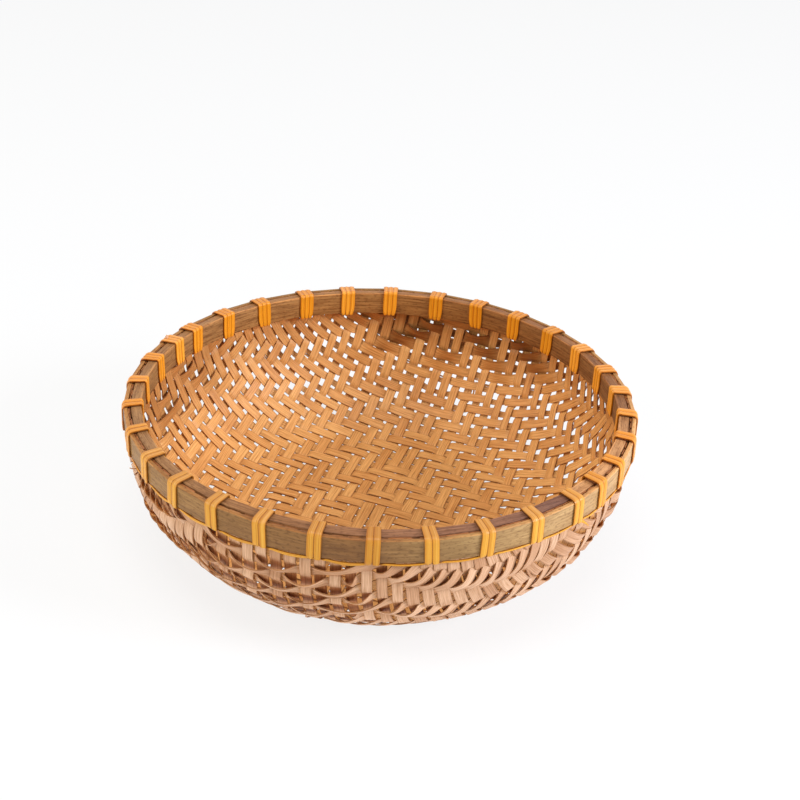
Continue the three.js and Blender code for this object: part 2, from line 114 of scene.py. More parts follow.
# How the spacing changes towards either end of a set, over this many half pitches from the middle
SPREAD = {("A", 1): (0.21, -0.01), ("A", -1): (0.03, 0.19), ("B", 1): (-0.24, 0.21), ("B", -1): (0.0, 0.0)}
SPREAD_OVER = 40
# How much a set's middle line bends, in radians per millimetre
BEND_OF_LINE = {("A", 1): -0.0003, ("A", -1): 0.0013, ("B", 1): -0.0014, ("B", -1): 0.0}
WAVE = 0.47  # how far a splint's middle lies to the side of the mat's middle
PINCHED_WAVE = 0.28  # the same between the hoops
CROSSOVER = 0.24  # share of a pitch in which it changes sides, either way
STEPS_PER_HALF = 3  # along a splint, from one half pitch to the next
FEWEST_HALVES = 4
FEWEST_STEPS = 8
# Where the twill changes, in splints from the middle
INNER_DIAMONDS = 10.5
FRONT_COLUMNS = range(-7, 4)
FRONT_ROW = -16
HOOP_ROW = -23
RIGHT_COLUMN = 4
RIGHT_ROW = -7
RIGHT_RING = 18


def top_at(radius):
    return HOOP_TOP - TOP_SLOPE * (radius - INNER_HOOP[0])


def rim_pull(angle):
    """How far the rim lies inside its circle: it runs nearly straight from one lashing to the next."""
    share = np.interp((angle - FIRST_LASHING) % (2 * math.pi), LASHING_ANGLES, np.arange(LASHINGS + 1))
    return HOOP_FLAT * (1 - np.cos(2 * np.pi * share)) / 2


# The bowl's surface, by distance s along its profile from the middle
def make_profile():
    t = np.concatenate([np.linspace(0, 1, 4001) ** 3, 1 - np.linspace(0, 0.4, 2001) ** 2])
    t = np.unique(np.clip(t, 0, 1)) * math.pi / 2
    radius = WALL_RADIUS * np.sin(t) ** (2 / FLOOR_ROUND)
    height = WALL_HEIGHT * (1 - np.abs(np.cos(t)) ** (2 / WALL_ROUND))
    radius = np.append(radius, WALL_RADIUS)
    height = np.append(height, HOOP_TOP)
    s = np.concatenate([[0], np.cumsum(np.hypot(np.diff(radius), np.diff(height)))])
    even = np.linspace(0, s[-1], 3001)
    return even, np.interp(even, s, radius), np.interp(even, s, height)


PROFILE_S, PROFILE_R, PROFILE_Z = make_profile()
PROFILE_DR = np.gradient(PROFILE_R, PROFILE_S)
PROFILE_DZ = np.gradient(PROFILE_Z, PROFILE_S)
EDGE_S = float(np.interp(MAT_EDGE, PROFILE_Z, PROFILE_S))
STEP_S = PROFILE_S[1]


def surface(pq):
    """Point on the bowl and its two derivatives.

    pq is the point of the mat as it would lie unrolled from the middle.
    """
    s = np.hypot(pq[..., 0], pq[..., 1])
    cos = pq[..., 0] / np.maximum(s, 1e-9)
    sin = pq[..., 1] / np.maximum(s, 1e-9)
    place = np.clip(s / STEP_S, 0, len(PROFILE_S) - 1.001)
    i = place.astype(int)
    f = place - i
    radius, height, slope_r, slope_z = (
        column[i] * (1 - f) + column[i + 1] * f for column in (PROFILE_R, PROFILE_Z, PROFILE_DR, PROFILE_DZ)
    )
    point = np.stack([radius * cos, radius * sin, height], -1)
    out = np.stack([slope_r * cos, slope_r * sin, slope_z], -1)
    round_ = np.stack([-sin, cos, 0 * cos], -1) * (radius / np.maximum(s, 1e-9))[..., None]
    cos, sin = cos[..., None], sin[..., None]
    return point, out * cos - round_ * sin, out * sin + round_ * cos


def normal_at(pq):
    """Unit normal, pointing to the inside of the bowl."""
    _, dp, dq = surface(pq)
    n = np.cross(dp, dq)
    return n / np.linalg.norm(n, axis=-1, keepdims=True)


def meet(a, b, guess, from_a, from_b):
    """Points of the bowl at the given distances from points a and b."""
    pq = guess.copy()
    for _ in range(6):
        point, dp, dq = surface(pq)
        ra, rb = point - a, point - b
        fa = (ra * ra).sum(-1) - from_a**2
        fb = (rb * rb).sum(-1) - from_b**2
        a11, a12 = 2 * (ra * dp).sum(-1), 2 * (ra * dq).sum(-1)
        a21, a22 = 2 * (rb * dp).sum(-1), 2 * (rb * dq).sum(-1)
        det = a11 * a22 - a12 * a21
        det = np.where(np.abs(det) < 1e-6, 1e-6, det)
        move = np.stack([fa * a22 - fb * a12, a11 * fb - a21 * fa], -1) / det[..., None]
        pq = pq - move / np.maximum(1, np.linalg.norm(move, axis=-1, keepdims=True) / 3)
    return pq


def middle_line(start, azimuth, lengths, bend):
    """A line that runs on over the bowl from start with a slight bend, with the given step lengths."""
    line = [np.array(start, float)]
    here = surface(line[0][None])[0][0]
    ahead = np.array([math.cos(azimuth), math.sin(azimuth), 0.0])
    for length in lengths:
        _, dp, dq = (x[0] for x in surface(line[-1][None]))
        n = np.cross(dp, dq)
        n /= np.linalg.norm(n)
        ahead = ahead - (ahead @ n) * n
        ahead /= np.linalg.norm(ahead)
        ahead = ahead * math.cos(bend * length) + np.cross(n, ahead) * math.sin(bend * length)
        metric = np.array([[dp @ dp, dp @ dq], [dp @ dq, dq @ dq]])
        move = np.linalg.solve(metric, np.array([ahead @ dp, ahead @ dq]) * length)
        for _ in range(4):
            there = surface((line[-1] + move)[None])[0][0]
            move = move * length / np.linalg.norm(there - here)
        line.append(line[-1] + move)
        there = surface(line[-1][None])[0][0]
        ahead, here = (there - here) / np.linalg.norm(there - here), there
    return np.array(line)


def make_net(half_steps):
    """Crossings of the two sets every half pitch, as on a cloth that shears but doesn't stretch."""
    n = half_steps
    net = np.full((2 * n + 1, 2 * n + 1, 2), np.nan)
    part = (np.arange(n) + 0.5) / SPREAD_OVER
    steps = {}
    for (name, sign), (first, second) in SPREAD.items():
        steps[name, sign] = PITCH[name] / 2 * (1 + first * part + second * part**2)
        turn = 0 if sign > 0 else math.pi
        line = middle_line(MAT_MIDDLE, AZIMUTH[name] + turn, steps[name, sign], BEND_OF_LINE[name, sign])
        for k, point in enumerate(line):
            net[(n + sign * k, n) if name == "A" else (n, n + sign * k)] = point
    for si, sj in ((1, 1), (1, -1), (-1, 1), (-1, -1)):
        for total in range(2, 2 * n + 1):
            i = np.arange(max(1, total - n), min(n, total - 1) + 1)
            j = total - i
            a, b = steps["A", si][i - 1], steps["B", sj][j - 1]
            i, j = n + si * i, n + sj * j
            pa, pb, pc = net[i - si, j], net[i, j - sj], net[i - si, j - sj]
            ok = ~np.isnan(pa[:, 0]) & ~np.isnan(pb[:, 0])
            if not ok.any():
                break
            i, j, pa, pb, pc, a, b = (x[ok] for x in (i, j, pa, pb, pc, a, b))
            at_a, at_b = surface(pa)[0], surface(pb)[0]
            found = meet(at_a, at_b, pa + pb - pc, a, b)
            point = surface(found)[0]
            wrong = np.hypot(*found.T) > PROFILE_S[-1] - 0.5
            wrong |= np.abs(np.linalg.norm(point - at_a, axis=1) - a) > 0.01
            wrong |= np.abs(np.linalg.norm(point - at_b, axis=1) - b) > 0.01
            found[wrong] = np.nan
            net[i, j] = found
    return net


def a_on_top(i, j):
    """Whether the splint of set A lies on the inside where half-numbered splints i and j cross.

    It is a twill over two and under two that runs in diamonds, with the inner ones a splint out of step and
    those on the wall at the front right a splint back. On the front wall set A goes over three on the outside
    and under one, and next to the hoop it stays inside.
    """
    column, row = math.floor(i), math.floor(j)
    if column in FRONT_COLUMNS and row <= FRONT_ROW:
        return row <= HOOP_ROW or (column + 2 * row) % 4 == 0
    ring = math.floor(abs(i)) + math.floor(abs(j - 1))
    if abs(i) + abs(j - 1) < INNER_DIAMONDS:
        ring += 1
    if column >= RIGHT_COLUMN and row <= RIGHT_ROW and ring >= RIGHT_RING:
        ring -= 1
    return ring % 4 in (0, 3)


def ease(x, low, high):
    """Smooth step from 0 at low to 1 at high."""
    t = np.clip((x - low) / (high - low), 0, 1)
    return t * t * (3 - 2 * t)


def catmull(points, per):
    """Smooth line through points, with per steps from one to the next."""
    first = 2 * points[0] - points[1]
    last = 2 * points[-1] - points[-2]
    p = np.vstack([first, points, last])
    t = (np.arange(per) / per)[:, None]
    out = []
    for p0, p1, p2, p3 in zip(p, p[1:], p[2:], p[3:]):
        slope = p2 - p0
        square = 2 * p0 - 5 * p1 + 4 * p2 - p3
        cube = 3 * p1 - p0 - 3 * p2 + p3
        out.append(0.5 * (2 * p1 + slope * t + square * t**2 + cube * t**3))
    out.append(points[-1:])
    return np.vstack(out)


def slow_noise(count, every):
    """Smooth random walk between -1 and 1 with a new value every few points."""
    knots = rng.uniform(-1, 1, count // every + 3)
    x = np.arange(count) / every
    i = x.astype(int)
    f = x - i
    f = f * f * (3 - 2 * f)
    return knots[i] * (1 - f) + knots[i + 1] * f


def unit(vectors):
    return vectors / np.linalg.norm(vectors, axis=1, keepdims=True)


def outwards(angle):
    """Level directions away from the middle, at the given angles."""
    return np.stack([np.cos(angle), np.sin(angle), 0 * angle], 1)


def shade_smooth(piece, angle):
    """Shades the piece smooth over edges below the angle."""
    bpy.ops.object.select_all(action="DESELECT")
    bpy.context.view_layer.objects.active = piece
    piece.select_set(True)
    bpy.ops.object.shade_smooth_by_angle(angle=math.radians(angle))
    piece.select_set(False)


class Strips:
    """Flat strips of one piece, each swept along a line as a closed solid.

    Its faces keep a tone, how far they take the colour of the bowl's inside, which is also painted bounce
    light on tucked under sides, and how far stains and painted light darken or tint them.
    """

    def __init__(self):
        self.verts, self.faces, self.uvs = [], [], []
        self.tone, self.inside, self.stain_and_painted_light = [], [], []
        self.count = 0

    def add(self, middle, across, up, width, thick, tone, crown=0, shift=0.0, stain_and_painted_light=0, painted_recess_shade=0, painted_bounce_light=0):
        """Sweeps one strip.

        middle, across and up hold one row per step: its middle, its width direction and where its upper side
        looks. crown raises the middle of that side, and shift moves the grain. Of the last three arguments,
        the first darkens or tints the whole strip with stains and painted light, the second paints shade onto
        its under side, and the third paints the inside colour onto its under side as bounce light.
        """
        n = len(middle)
        w = (np.broadcast_to(width, n) / 2)[:, None]
        h = (np.broadcast_to(thick, n) / 2)[:, None]
        c = np.broadcast_to(crown, n)[:, None]
        rows = [
            middle + across * w + up * h,
            middle + up * (h + c),
            middle - across * w + up * h,
            middle - across * w - up * h,
            middle - up * (h - c),
            middle + across * w - up * h,
        ]
        m = len(rows)
        base = self.count
        self.verts.append(np.stack(rows, 1).reshape(-1, 3))
        k = base + np.arange(n - 1)[:, None] * m
        j = np.arange(m)[None]
        jn = (j + 1) % m
        self.faces += np.stack([k + j, k + m + j, k + m + jn, k + jn], -1).reshape(-1, 4).tolist()
        self.faces.append([base + x for x in range(m)])
        self.faces.append([base + (n - 1) * m + x for x in range(m - 1, -1, -1)])

        along = np.concatenate([[0], np.cumsum(np.linalg.norm(np.diff(middle, axis=0), axis=1))])
        u = along / 100 + shift
        v = np.array([1.0, 0.5, 0.0, 0.0, 0.5, 1.0])
        uv = np.empty((n - 1, m, 4, 2))
        uv[:, :, 0, 0] = uv[:, :, 3, 0] = u[:-1, None]
        uv[:, :, 1, 0] = uv[:, :, 2, 0] = u[1:, None]
        uv[:, :, 0, 1] = uv[:, :, 1, 1] = v[None]
        uv[:, :, 2, 1] = uv[:, :, 3, 1] = np.roll(v, -1)[None]
        self.uvs += [uv.reshape(-1, 2), np.tile([[u[0], 0.5]], (m, 1)), np.tile([[u[-1], 0.5]], (m, 1))]

        under = np.array([0.0, 0.0, 0.5, 1.0, 1.0, 0.5])
        stain_and_painted_light, painted_recess_shade, painted_bounce_light = (np.broadcast_to(x, n) for x in (stain_and_painted_light, painted_recess_shade, painted_bounce_light))
        stain_and_painted_light_, painted_recess_shade_, painted_bounce_light_ = ((x[1:] + x[:-1])[:, None] / 2 for x in (stain_and_painted_light, painted_recess_shade, painted_bounce_light))
        # under sides take the inside colour as painted bounce light; the next value carries stains, painted
        # shade on under sides and, on lashings, painted light on the tops
        self.inside += (1 - under * (1 - painted_bounce_light_)).ravel().tolist() + [0.5, 0.5]
        self.stain_and_painted_light += (stain_and_painted_light_ + under * painted_recess_shade_).ravel().tolist() + [stain_and_painted_light[0], stain_and_painted_light[-1]]
        self.tone += [tone] * ((n - 1) * m + 2)
        self.count += n * m

    def level_end(self, count, height):
        """Cuts the ends of the last strip level instead of square, as the mat was trimmed along the rim."""
        block = self.verts[-1].reshape(count, -1, 3)
        moved = 4
        for end, step in ((0, 1), (count - 1, -1)):
            if block[end, :, 2].mean() < height - 3:
                continue
            ahead = block[end].mean(0) - block[end + 3 * step].mean(0)
            ahead /= np.linalg.norm(ahead)
            if ahead[2] < 0.5:
                continue
            wanted = (height - block[end, :, 2]) / ahead[2]
            for k in range(moved):
                block[end + k * step] += ahead * (wanted * (moved - k) / moved)[:, None]
        block[:, :, 2] = np.minimum(block[:, :, 2], height + 0.1)

    def build(self, name, angle=35):
        """Makes the strips into one mesh piece."""
        mesh = bpy.data.meshes.new(name)
        mesh.from_pydata((np.vstack(self.verts) * MM).tolist(), [], self.faces)
        layer = mesh.uv_layers.new(name="grain")
        layer.data.foreach_set("uv", np.vstack(self.uvs).astype(np.float32).ravel())
        for key in ("tone", "inside", "stain_and_painted_light"):
            values = mesh.attributes.new(key, "FLOAT", "FACE")
            values.data.foreach_set("value", np.asarray(getattr(self, key), np.float32))
        mesh.validate()
        piece = bpy.data.objects.new(name, mesh)
        bpy.context.scene.collection.objects.link(piece)
        shade_smooth(piece, angle)
        return piece


# Woven bowl
def stretches(mask):
    """Where each run of true values starts and where it has ended."""
    change = np.diff(np.concatenate([[0], mask.astype(int), [0]]))
    return list(zip(np.where(change == 1)[0], np.where(change == -1)[0]))


def bows(mask, least, most):
    """A bow over each run of true values, each of a random height between least and most."""
    bow = np.zeros(len(mask))
    for start, end in stretches(mask):
        share = (np.arange(start, end) - start + 0.5) / (end - start)
        bow[start:end] = np.sin(np.pi * share) * rng.uniform(least, most)
    return bow


class Splint:
    """One splint's course over the bowl, and the parts of the bowl that it runs through."""

    def __init__(self, set_name, pq):
        self.is_a = set_name == "A"
        self.point = surface(pq)[0]
        self.up = normal_at(pq)
        self.ahead = unit(np.gradient(self.point, axis=0))
        self.across = np.cross(self.up, self.ahead)
        x, y, height = self.point.T
        self.count = len(height)
        self.height = height
        self.radius = np.hypot(x, y)
        self.turn = np.arctan2(y, x)
        self.bearing = bearing = np.degrees(self.turn)
        # 1 where it runs round the bowl, 0 where it runs up the wall
        self.level = np.abs((self.ahead * outwards(self.turn + math.pi / 2)).sum(1))
        # 1 or -1, by which of its edges is the upper one
        self.upper_edge = np.clip(self.across[:, 2] / 0.2, -1, 1)
        # 1 within a part of the bowl and 0 away from it, by place in millimetres or bearing in degrees
        self.clamp = ease(height, 61, 67)
        self.left = ease(-x, 20, 80)
        self.front_left = ease(-y, 40, 80) * ease(-x, 0, 30)
        self.front_right = ease(-y, 25, 60) * ease(x, -8, 42)
        self.back_left = ease(-x, 75, 105) * ease(height, 24, 44) * ease(y, -30, 10)
        self.back_right = ease(height, 30, 50) * ease(bearing, 35, 50) * (1 - ease(bearing, 88, 104))
        self.loose = ease(height - 10 * self.left, 6, 24 + 4 * self.left) * (1 - ease(height, 57, 65))


def splint_course(net, row):
    """Points of one splint, the crossing that each is at, and the ends of its row in the net.

    It is None where the splint would be too short.
    """
    n = (len(net) - 1) // 2
    line = net[:, row]
    if np.isnan(line[n, 0]):
        return None
    low = high = n
    while low > 0 and not np.isnan(line[low - 1, 0]):
        low -= 1
    while high < 2 * n and not np.isnan(line[high + 1, 0]):
        high += 1
    if high - low < FEWEST_HALVES:
        return None
    index = np.arange(low, high + 1)
    points = line[index]
    # the splint runs on straight to the mat's cut edge
    points = np.vstack([2 * points[0] - points[1], points, 2 * points[-1] - points[-2]])
    cell = (np.concatenate([[low - 1], index, [high + 1]]) - n) / 2
    pq = catmull(points, STEPS_PER_HALF)
    u = np.linspace(cell[0], cell[-1], len(pq))
    keep = np.where(np.hypot(pq[:, 0], pq[:, 1]) <= EDGE_S - rng.uniform(0, 0.5))[0]
    if len(keep) < FEWEST_STEPS:
        return None
    kept = slice(keep[0], keep[-1] + 1)
    return pq[kept], u[kept], (low, high)


def room_beside(net, row, pq, u, ends, across):
    """Width that a splint can have between its neighbours of the same set."""
    n = (len(net) - 1) // 2
    line, left, right = net[:, row], net[:, row + 1], net[:, row - 1]
    near = np.clip(np.round(u * 2 + n).astype(int), *ends)
    other = np.where(np.isnan(left[near, :1]), right[near], left[near])
    other = np.where(np.isnan(other), pq + 3, other)
    room = 2 * np.abs(((surface(other)[0] - surface(line[near])[0]) * across).sum(1))
    return np.convolve(np.pad(room, 6, mode="edge"), np.ones(13) / 13, mode="valid")


def side_of(splint, number, u):
    """1 where the splint lies inside the other set and -1 where outside, with a smooth change between."""
    on_top = a_on_top if splint.is_a else lambda i, j: not a_on_top(j, i)
    crossing = np.round(u)
    half = number + 0.5
    before = np.array([1 if on_top(k - 0.5, half) else -1 for k in crossing])
    after = np.array([1 if on_top(k + 0.5, half) else -1 for k in crossing])
    blend = 0.5 + 0.5 * np.sin(np.pi / 2 * np.clip((u - crossing) / CROSSOVER, -1, 1))
    return before * (1 - blend) + after * blend


def width_of(splint, room):
    """Width along a splint: wider at the front right and back right, narrower where the wall is open."""
    x, height, radius, bearing = splint.point[:, 0], splint.height, splint.radius, splint.bearing
    width = SPLINT_WIDTH - 0.6 * ease(radius, 20, 75) - 0.35 * ease(height, 12, 35)
    width = width * rng.uniform(0.93, 1.05) * (1 + 0.06 * slow_noise(splint.count, 14))
    width = width + 0.9 * splint.front_right + 0.3 * splint.front_left + 0.5 * splint.back_left
    right = ease(x, 15, 75) * ease(radius, 45, 85)
    if splint.is_a:
        width = width + 2.4 * splint.back_right - 0.25 * right
    else:
        width = width + 0.7 * splint.back_right - 0.6 * right + 0.9 * ease(-x, 50, 95) * ease(height, 4, 16)
    open_part = ease(height, 6, 20) * (1 - ease(height, 45, 60))
    open_part = open_part * ease(bearing, 95, 112) * (1 - ease(bearing, 150, 165))
    limit = room * (1.05 + 0.12 * splint.front_right + 0.16 * splint.back_right)
    return np.minimum(width - 0.5 * open_part, np.maximum(limit, NARROWEST))


def stain_and_shade_of(splint):
    """How dark a splint is: stained on the upper wall at the back right, and painted shade on the left back
    and at the mat's edge.
    """
    height, bearing = splint.height, splint.bearing
    brown = ease(height, 40, 52) * ease(bearing, 38, 50) * (1 - ease(bearing, 86, 98))
    brown = brown * (rng.uniform(0.6, 1.3) if splint.is_a else rng.uniform(0.15, 0.5))
    brown = brown * (0.8 + 0.2 * slow_noise(splint.count, 12))
    # painted shade on the wall at the left back, and at the mat's edge down between the hoops
    left = 0.45 * splint.back_left * (0.6 + 0.4 * slow_noise(splint.count, 9))
    return np.maximum(np.maximum(brown, left), ease(height, 68, 72))


def split_loops(strips, splint, outside, loop, middle, turned, turned_up, width):
    """Splits some of a splint's loops: a thin part of the strip stands off beside the rest."""
    for start, end in stretches(outside):
        chance = rng.uniform()
        edge = 1 if rng.uniform() < 0.5 else -1
        thin = rng.uniform(0.7, 1.3)
        reach = rng.uniform(0.2, 0.9)
        on_wall = splint.loose[(start + end) // 2] > 0.4 and splint.point[start, 0] > -85
        if chance > (0.4 if splint.is_a else 0.15) or not on_wall or end - start <= 6:
            continue
        here = slice(max(start - 1, 0), min(end + 2, splint.count), 2)
        beside = edge * (width[here] / 2 - 0.3 * thin + loop[here] * (reach + 0.7 * thin))
        path = middle[here] + turned[here] * beside[:, None]
        path -= splint.up[here] * (loop[here] * reach)[:, None]
        strips.add(path, turned[here], turned_up[here], thin, 0.4, rng.uniform(), shift=rng.uniform(0, 20))


def lay_splint(strips, splint, side, room):
    """Bends one splint over and under the other set."""
    x, y, height = splint.point.T
    up, across, level, clamp = splint.up, splint.across, splint.level, splint.clamp
    loose, upper_edge, front_right = splint.loose, splint.upper_edge, splint.front_right
    width = width_of(splint, room)
    # outside, the splints that run round the wall stand out in loops, with their upper edges outwards
    loop = bows(side < 0, 0.7, 1.15)
    if splint.is_a:
        lean = np.arcsin(np.clip(up[:, 2], 0, 1))
        tilt_out = ease(level, 0.1, 0.4) * np.clip(0.8 - lean, 0, 0.8) * loose
        tilt_out = tilt_out * (1 - 0.6 * front_right) * loop**0.4
        narrowing = 0.36 * (1 - 0.8 * front_right) * ease(level, 0.3, 0.7)
        width = width * (1 - narrowing * loop * loose)
        far = 0.4 + 0.9 * ease(level, 0.2, 0.7)
        dip = 1.6 * (loop - 0.4 * (loop > 0)) * loose * upper_edge * ease(level, 0.2, 0.7)
    else:
        tilt_out = dip = np.zeros(splint.count)
        bulging = 1.3 * ease(x, 70, 100) * ease(-y, -20, 20) + 0.6 * ease(-x, 85, 110)
        far = 0.6 + bulging * ease(level, 0.3, 0.7)
    stand = 0.2 * ease(height, 4, 16) * (1 - clamp) + far * loose
    stand = loop * stand * (1 - 0.3 * front_right) + loop * 0.35 * width * np.sin(tilt_out)
    crowd = 0.2 * np.clip((width * 1.05 - room) / 3, 0, 1) * (1 - clamp)
    tilt = crowd + 0.05 * slow_noise(splint.count, 10) * (1 - clamp) - upper_edge * tilt_out
    # where the wall is uneven they stand out in loops on the inside too, with their upper edges inwards
    uneven = (splint.back_right if splint.is_a else 0.6 * splint.back_left) * (1 - clamp)
    bulge = bows(side > 0, 0.5, 1.15) * uneven * ease(level, 0.3, 0.7)
    tilt = tilt + upper_edge * 0.65 * bulge**0.5
    slide = 0.3 * slow_noise(splint.count, 16)
    stain_and_painted_light = stain_and_shade_of(splint)

    wave = WAVE * (1 - clamp) + PINCHED_WAVE * clamp
    middle = splint.point + up * (side * wave - stand + 1.2 * bulge)[:, None]
    middle += across * (slide - dip)[:, None]
    middle[:, 2] += WEAVE_LIFT * (1 - np.clip(height / LIFT_HEIGHT, 0, 1))
    middle -= outwards(splint.turn) * (rim_pull(splint.turn) * ease(height, 55, 66))[:, None]
    cos, sin = np.cos(tilt)[:, None], np.sin(tilt)[:, None]
    turned, turned_up = across * cos + up * sin, up * cos - across * sin
    # where a splint lies tucked inside the other set: painted shade on its under side, and the inside colour
    # painted on as bounce light (set A bright in the gaps, set B dark in the hollows under the loops)
    hidden = np.clip(side, 0, 1) * ease(height, 3, 12)
    painted_recess_shade, painted_bounce_light = 0.1 * hidden, hidden
    if not splint.is_a:
        painted_recess_shade, painted_bounce_light = (0.85 - 0.5 * front_right - 0.6 * splint.left) * hidden, 0.3 * hidden
    tone = rng.uniform()
    shift = rng.uniform(0, 20)
    strips.add(middle, turned, turned_up, width, SPLINT_THICK, tone, 0.05, shift, stain_and_painted_light, painted_recess_shade, painted_bounce_light)
    strips.level_end(splint.count, MAT_EDGE)
    split_loops(strips, splint, side < 0, loop, middle, turned, turned_up, width)


def lay_splints(net, set_name):
    """All splints of one set, each along its own row of the net."""
    if set_name == "B":
        net = net.transpose(1, 0, 2)
    strips = Strips()
    for number in range(-SPLINTS_EACH_SIDE, SPLINTS_EACH_SIDE):
        row = (len(net) - 1) // 2 + 2 * number + 1
        course = splint_course(net, row)
        if course is None:
            continue
        pq, u, ends = course
        splint = Splint(set_name, pq)
        room = room_beside(net, row, pq, u, ends, splint.across)
        lay_splint(strips, splint, side_of(splint, number, u), room)
    return strips


def add_splinter(strips, bearing, drift, points, wide, thin):
    """A loose end, given by (radius, height) points from its root to its tip that drift along the rim."""
    smooth = catmull(np.array(points, float), 4)
    part = np.linspace(0, 1, len(smooth))
    out = outwards(math.radians(bearing) + drift * part / smooth[:, 0])
    path = out * smooth[:, :1]
    path[:, 2] = smooth[:, 1]
    ahead = unit(np.gradient(path, axis=0))
    side = unit(np.cross(ahead, out))
    width = wide + (thin - wide) * part
    strips.add(path, side, np.cross(side, ahead), width, 0.4, rng.uniform(), shift=rng.uniform(0, 20))


net = make_net(2 * SPLINTS_EACH_SIDE)
splints_a = lay_splints(net, "A")
fibre = [(125.5, 61), (127.5, 60.5), (129.5, 61.5), (131.0, 63.0)]
add_splinter(splints_a, -158, 4.0, fibre, 0.7, 0.25)
splints = [splints_a.build("splints_A")]
splints_b = lay_splints(net, "B")
standing_end = [(126.4, 75), (126.4, 77.5), (126.8, 80.0), (127.4, 81.6)]
add_splinter(splints_b, 155.5, 1.0, standing_end, 2.6, 1.4)
splints.append(splints_b.build("splints_B"))


# Hoops
HOOP_STEPS = 384
SCARF_STEPS = 12
SCARF = 2 * math.pi * SCARF_STEPS / HOOP_STEPS
SCARF_TIP = 0.4
SCARF_GAP = 0.15
HOOP_WAVER = 0.05


def switch(mode):
    bpy.ops.object.mode_set(mode=mode)


def pick(action):
    bpy.ops.mesh.select_all(action=action)


def spin_band(name, inner, outer, bottom, edge):
    """A hoop's band, spun a little more than once round.

    Its section is drawn in the plane of X and Z, and its corners are rounded.
    """
    bpy.ops.mesh.primitive_plane_add(size=1, location=(0, 0, 0))
    piece = bpy.context.active_object
    piece.name = name
    corners = [(inner, bottom), (outer, bottom), (inner, top_at(inner)), (outer, top_at(outer))]
    for vertex, (radius, height) in zip(piece.data.vertices, corners):
        vertex.co = Vector((radius * MM, 0, height * MM))
    switch("EDIT")
    pick("SELECT")
    bpy.ops.mesh.bevel(offset=edge * MM, segments=3, affect="VERTICES")
    pick("SELECT")
    bpy.ops.mesh.delete(type="ONLY_FACE")
    pick("SELECT")
    steps = HOOP_STEPS + SCARF_STEPS
    bpy.ops.mesh.spin(steps=steps, angle=-2 * math.pi * steps / HOOP_STEPS, center=(0, 0, 0), axis=(0, 0, 1))
    switch("OBJECT")
    return piece


def close_end(mesh, at_end):
    """Fills the open end of a band between the chosen vertices."""
    switch("EDIT")
    bpy.ops.mesh.select_mode(type="VERT")
    pick("DESELECT")
    switch("OBJECT")
    for index in np.where(at_end)[0]:
        mesh.vertices[int(index)].select = True
    switch("EDIT")
    bpy.ops.mesh.edge_face_add()
    switch("OBJECT")


def write_grain(mesh, turn, radius, height, inner, outer, bottom):
    """UV in tenths of a metre: along the hoop from its end, and up its outer face, over and down inside."""
    layer = mesh.uv_layers.get("grain") or mesh.uv_layers.new(name="grain")
    middle = (inner + outer) / 2
    round_top = top_at(middle) - bottom + outer - inner
    steep = 0.72
    for face in mesh.polygons:
        at = math.atan2(face.center.y, face.center.x)
        inward = -(face.normal.x * math.cos(at) + face.normal.y * math.sin(at)) > steep
        under = face.normal.z < -steep
        for loop in face.loop_indices:
            vertex = mesh.loops[loop].vertex_index
            if inward:
                v = round_top + top_at(inner) - height[vertex] + radius[vertex] - inner
            elif under:
                v = radius[vertex] - outer
            else:
                v = height[vertex] - bottom + outer - radius[vertex]
            layer.data[loop].uv = (turn[vertex] * middle / 100, v / 100)


def bend_hoop(piece, inner, outer, bottom, scarf_bay):
    """Lays the band's tapered ends over each other and bends it to the rim."""
    mesh = piece.data
    count = len(mesh.vertices)
    co = np.empty(3 * count)
    mesh.vertices.foreach_get("co", co)
    co = co.reshape(-1, 3) / MM
    rings = HOOP_STEPS + SCARF_STEPS + 1
    rough = np.arange(count) // (count // rings) * 2 * math.pi / HOOP_STEPS
    turn = np.arctan2(co[:, 1], co[:, 0])
    turn = turn + 2 * math.pi * np.round((rough - turn) / (2 * math.pi))
    radius, height = np.hypot(co[:, 0], co[:, 1]), co[:, 2]

    def split(part):
        return inner + SCARF_TIP + (outer - inner - 2 * SCARF_TIP - SCARF_GAP) * np.clip(part, 0, 1)

    close = 1e-4
    low = np.where(turn > 2 * math.pi - close, split((turn - 2 * math.pi) / SCARF) + SCARF_GAP, inner)
    high = np.where(turn < SCARF + close, split(turn / SCARF), outer)
    laid = low + (radius - inner) * (high - low) / (outer - inner)
    upper = height > (bottom + HOOP_TOP) / 2
    raised = height + np.where(upper, top_at(laid) - top_at(radius), 0)

    angle = FIRST_LASHING + LASHING_ANGLES[scarf_bay] + (BAYS[scarf_bay] - SCARF) / 2 + turn
    bent = laid - rim_pull(angle)
    for k in range(2, 9):
        bent = bent + HOOP_WAVER * rng.uniform(-1, 1) / k * np.sin(k * angle + rng.uniform(0, 2 * math.pi))
    placed = np.stack([bent * np.cos(angle), bent * np.sin(angle), raised], 1) * MM
    mesh.vertices.foreach_set("co", placed.ravel())
    mesh.update()

    close_end(mesh, turn < close)
    close_end(mesh, turn > turn.max() - close)
    switch("EDIT")
    pick("SELECT")
    bpy.ops.mesh.normals_make_consistent(inside=False)
    switch("OBJECT")
    write_grain(mesh, turn, radius, height, inner, outer, bottom)
    shade_smooth(piece, 35)


outer_hoop = spin_band("outer_hoop_bent", *OUTER_HOOP, OUTER_HOOP_BOTTOM, 0.3)
bend_hoop(outer_hoop, *OUTER_HOOP, OUTER_HOOP_BOTTOM, OUTER_SCARF_BAY)
inner_hoop = spin_band("inner_hoop_bent", *INNER_HOOP, INNER_HOOP_BOTTOM, 0.4)
bend_hoop(inner_hoop, *INNER_HOOP, INNER_HOOP_BOTTOM, INNER_SCARF_BAY)

